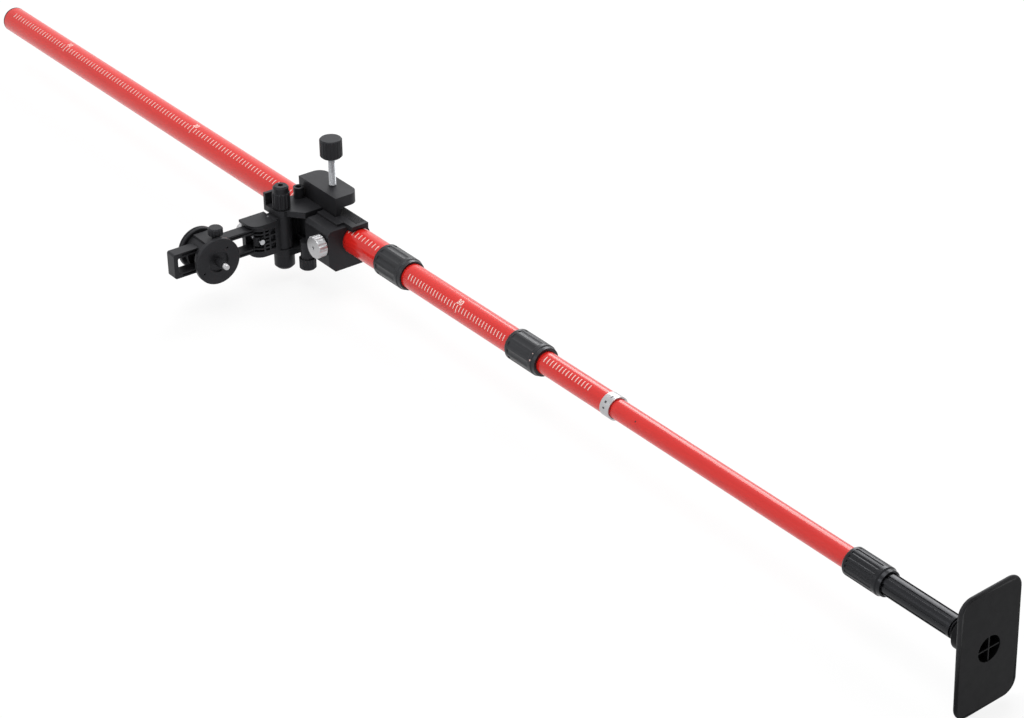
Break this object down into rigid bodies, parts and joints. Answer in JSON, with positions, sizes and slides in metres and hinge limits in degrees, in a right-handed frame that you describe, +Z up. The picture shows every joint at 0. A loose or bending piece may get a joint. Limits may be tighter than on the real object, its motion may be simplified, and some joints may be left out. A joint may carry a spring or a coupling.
{
  "type": "range pole",
  "caption": "Telescopic red surveying pole with twist locks, a swivel ceiling plate and a sliding black bracket with a clamp jaw, swing arm and instrument stud.",
  "frame": {"origin": "centre of the pole's base end face", "axes": "+X along the pole from the base to the ceiling plate, +Z up with the pole lying level and the clamp screw upright, -Y towards the bracket's arm"},
  "size_m": [1.726, 0.2235, 0.1619],
  "materials": {
    "red_paint": "glossy red coat on drawn aluminium tube",
    "black_plastic": "fine moulded grain",
    "collar_plastic": "moulded, slightly dull",
    "tip_plastic": "half gloss",
    "plate_plastic": "soft matte",
    "bush_plastic": "plain moulded",
    "bright_metal": "bright plated",
    "steel": "zinc plated"
  },
  "bodies": {
    "base": {"base_plug": "black_plastic", "base_tube": "red_paint", "base_lock_sleeve": "black_plastic"},
    "base_collar": {"base_lock_collar": "collar_plastic"},
    "second": {"second_tube": "red_paint", "second_tube_bush": "bush_plastic", "second_lock_sleeve": "black_plastic"},
    "second_collar": {"second_lock_collar": "collar_plastic"},
    "third": {"third_tube": "red_paint", "third_tube_bush": "bush_plastic", "spring_seat": "bush_plastic", "push_spring": "steel", "guide_sleeve": "bush_plastic", "trim_ring": "bright_metal"},
    "spring_stage": {"spring_tube": "red_paint", "spring_piston": "bush_plastic", "tip_lock_sleeve": "black_plastic"},
    "tip_collar": {"tip_lock_collar": "tip_plastic"},
    "tip": {"tip_rod": "tip_plastic"},
    "ball": {"ball_stud": "black_plastic"},
    "plate": {"ceiling_plate": "plate_plastic", "socket_ring": "plate_plastic"},
    "liner": {"clamp_liner": "bush_plastic"},
    "housing": {"clamp_body": "black_plastic", "jaw_plate": "black_plastic", "c_clamp": "black_plastic", "platform": "black_plastic", "swing_bolt": "steel", "swing_foot": "black_plastic"},
    "shoe": {"pole_shoe": "bush_plastic"},
    "pole_lock": {"pole_screw": "steel", "pole_knob": "bright_metal"},
    "pad": {"jaw_pad": "bush_plastic"},
    "jaw_lock": {"jaw_screw": "steel", "jaw_knob": "black_plastic"},
    "swing_lock": {"swing_knob": "black_plastic"},
    "low_lock": {"low_screw": "steel", "low_knob": "black_plastic"},
    "arm_holder": {"arm_box": "black_plastic", "stop_pin": "steel"},
    "arm_lock": {"arm_bolt": "steel", "arm_knob": "bright_metal"},
    "slotted_arm": {"arm": "black_plastic"},
    "carrier": {"carriage": "black_plastic", "mount_disc": "black_plastic"},
    "stud": {"stud_shaft": "bright_metal", "thumbwheel": "black_plastic"},
    "carrier_lock": {"carriage_screw": "steel", "carriage_knob": "black_plastic"}
  },
  "joints": [
    {"name": "base_collar_turn", "type": "hinge", "parent": "base", "child": "base_collar", "pos_m": [0.868, 0, 0], "axis": [1, 0, 0], "range_deg": [0, 120]},
    {"name": "second_tube_slide", "type": "slide", "parent": "base", "child": "second", "axis": [1, 0, 0], "range_m": [-0.16, 0.53]},
    {"name": "second_collar_turn", "type": "hinge", "parent": "second", "child": "second_collar", "pos_m": [1.099, 0, 0], "axis": [1, 0, 0], "range_deg": [0, 120]},
    {"name": "third_tube_slide", "type": "slide", "parent": "second", "child": "third", "axis": [1, 0, 0], "range_m": [-0.085, 0.62]},
    {"name": "spring_tube_slide", "type": "slide", "parent": "third", "child": "spring_stage", "axis": [1, 0, 0], "range_m": [-0.12, 0], "stiffness_N_per_m": 300, "springref_m": 0.05, "deforming": ["push_spring"]},
    {"name": "tip_collar_turn", "type": "hinge", "parent": "spring_stage", "child": "tip_collar", "pos_m": [1.584, 0, 0], "axis": [1, 0, 0], "range_deg": [0, 120]},
    {"name": "tip_rod_slide", "type": "slide", "parent": "spring_stage", "child": "tip", "axis": [1, 0, 0], "range_m": [0, 0.05]},
    {"name": "plate_spin", "type": "hinge", "parent": "tip", "child": "ball", "pos_m": [1.703, 0, 0], "axis": [1, 0, 0], "continuous": true},
    {"name": "plate_tilt", "type": "hinge", "parent": "ball", "child": "plate", "pos_m": [1.703, 0, 0], "axis": [0, 0.9986, 0.0523], "range_deg": [-14, 14]},
    {"name": "bracket_slide", "type": "slide", "parent": "base", "child": "liner", "axis": [1, 0, 0], "range_m": [-0.6, 0.035]},
    {"name": "bracket_turn", "type": "hinge", "parent": "liner", "child": "housing", "pos_m": [0.696, 0, 0], "axis": [1, 0, 0], "range_deg": [-170, 170]},
    {"name": "pole_shoe_travel", "type": "slide", "parent": "housing", "child": "shoe", "axis": [0, -1, 0], "range_m": [0, 0.001]},
    {"name": "pole_knob_turn", "type": "hinge", "parent": "shoe", "child": "pole_lock", "pos_m": [0.774, 0, 0], "axis": [0, -1, 0], "range_deg": [0, 299.52]},
    {"name": "jaw_pad_travel", "type": "slide", "parent": "housing", "child": "pad", "axis": [0, 0, -1], "range_m": [0, 0.0057]},
    {"name": "jaw_knob_turn", "type": "hinge", "parent": "pad", "child": "jaw_lock", "pos_m": [0.7305, 0.009, 0], "axis": [0, 0, -1], "range_deg": [0, 1707.26]},
    {"name": "arm_swing", "type": "hinge", "parent": "housing", "child": "arm_holder", "pos_m": [0.709, -0.0445, 0], "axis": [0, 0, 1], "range_deg": [-40, 40]},
    {"name": "swing_knob_turn", "type": "hinge", "parent": "housing", "child": "swing_lock", "pos_m": [0.709, -0.0445, 0], "axis": [0, 0, 1], "range_deg": [0, 270]},
    {"name": "low_knob_turn", "type": "hinge", "parent": "housing", "child": "low_lock", "pos_m": [0.737, -0.032, 0], "axis": [0, 0, 1], "range_deg": [0, 270]},
    {"name": "arm_slide", "type": "slide", "parent": "arm_holder", "child": "slotted_arm", "axis": [0, -1, 0], "range_m": [0, 0.01]},
    {"name": "arm_knob_turn", "type": "hinge", "parent": "arm_holder", "child": "arm_lock", "pos_m": [0.706, -0.0785, -0.005], "axis": [1, 0, 0], "range_deg": [0, 270]},
    {"name": "carriage_slide", "type": "slide", "parent": "slotted_arm", "child": "carrier", "axis": [0, -1, 0], "range_m": [-0.015, 0.025]},
    {"name": "stud_turn", "type": "hinge", "parent": "carrier", "child": "stud", "pos_m": [0.706, -0.1395, -0.005], "axis": [1, 0, 0], "continuous": true},
    {"name": "carriage_knob_turn", "type": "hinge", "parent": "carrier", "child": "carrier_lock", "pos_m": [0.71655, -0.1335, 0], "axis": [0, 0, 1], "range_deg": [0, 270]}
  ],
  "couplings": [
    {"joint": "pole_knob_turn", "follows": "pole_shoe_travel", "rad_per_m": 5026.5},
    {"joint": "jaw_knob_turn", "follows": "jaw_pad_travel", "rad_per_m": 5026.5}
  ]
}
